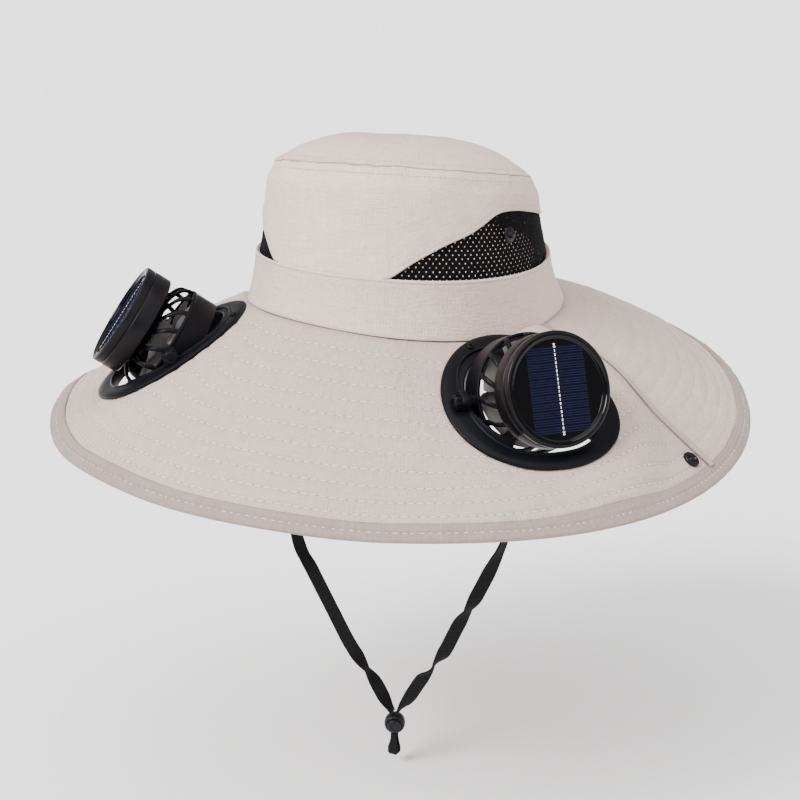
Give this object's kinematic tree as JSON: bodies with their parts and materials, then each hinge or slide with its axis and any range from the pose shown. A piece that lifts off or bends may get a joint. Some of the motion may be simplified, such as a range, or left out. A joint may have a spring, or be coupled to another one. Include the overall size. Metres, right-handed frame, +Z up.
{
  "type": "sun hat with solar fans",
  "caption": "Wide-brimmed bucket sun hat with net vent panel, tilting round solar fans on the brim and a webbing chin strap with cord lock.",
  "frame": {"origin": "middle of the head opening, at the seam between band and brim", "axes": "+Z up through the crown, -Y the front of the hat, +X the side to the right of someone who faces it"},
  "size_m": [0.4138, 0.4498, 0.4092],
  "materials": {
    "cloth": "woven cotton, beige",
    "net": "open black net",
    "black_plastic": "satin black",
    "black_gloss": "glossy black",
    "fan_grey": "mid grey",
    "solar_face": "clear resin over dark blue cells",
    "webbing": "black webbing",
    "lock_plastic": "black plastic"
  },
  "bodies": {
    "hat": {"crown_top": "cloth", "crown_side": "cloth", "crown_band": "cloth", "brim_front": "cloth", "brim_back": "cloth", "brim_hem": "cloth", "mesh_panel": "net", "flange_left": "black_plastic", "flange_right": "black_plastic", "brim_snap_left": "black_gloss", "brim_snap_right": "black_gloss", "crown_stud_left": "black_gloss", "crown_stud_right": "black_gloss", "chin_strap_left": "webbing", "chin_strap_right": "webbing", "strap_tail": "webbing", "lock_body": "lock_plastic"},
    "module_left": {"fan_guard_left": "black_plastic", "solar_housing_left": "black_gloss", "solar_panel_left": "solar_face"},
    "rotor_left": {"fan_rotor_left": "fan_grey"},
    "module_right": {"fan_guard_right": "black_plastic", "solar_housing_right": "black_gloss", "solar_panel_right": "solar_face"},
    "rotor_right": {"fan_rotor_right": "fan_grey"},
    "button": {"lock_button": "lock_plastic"}
  },
  "joints": [
    {"name": "tilt_left", "type": "hinge", "parent": "hat", "child": "module_left", "pos_m": [-0.10052, -0.10708, -0.01779], "axis": [0.619, -0.7841, 0.0449], "range_deg": [-26, 14]},
    {"name": "fan_spin_left", "type": "hinge", "parent": "module_left", "child": "rotor_left", "pos_m": [-0.10052, -0.10708, -0.01779], "axis": [-0.6727, -0.4999, 0.5455], "continuous": true},
    {"name": "tilt_right", "type": "hinge", "parent": "hat", "child": "module_right", "pos_m": [0.11762, -0.08052, -0.02151], "axis": [0.5914, 0.8063, -0.0089], "range_deg": [-40, 0]},
    {"name": "fan_spin_right", "type": "hinge", "parent": "module_right", "child": "rotor_right", "pos_m": [0.11762, -0.08052, -0.02151], "axis": [0.7623, -0.5555, 0.3322], "continuous": true},
    {"name": "lock_press", "type": "slide", "parent": "hat", "child": "button", "axis": [-0.4067, 0.9135, 0], "range_m": [0, 0.002], "stiffness_N_per_m": 300}
  ]
}
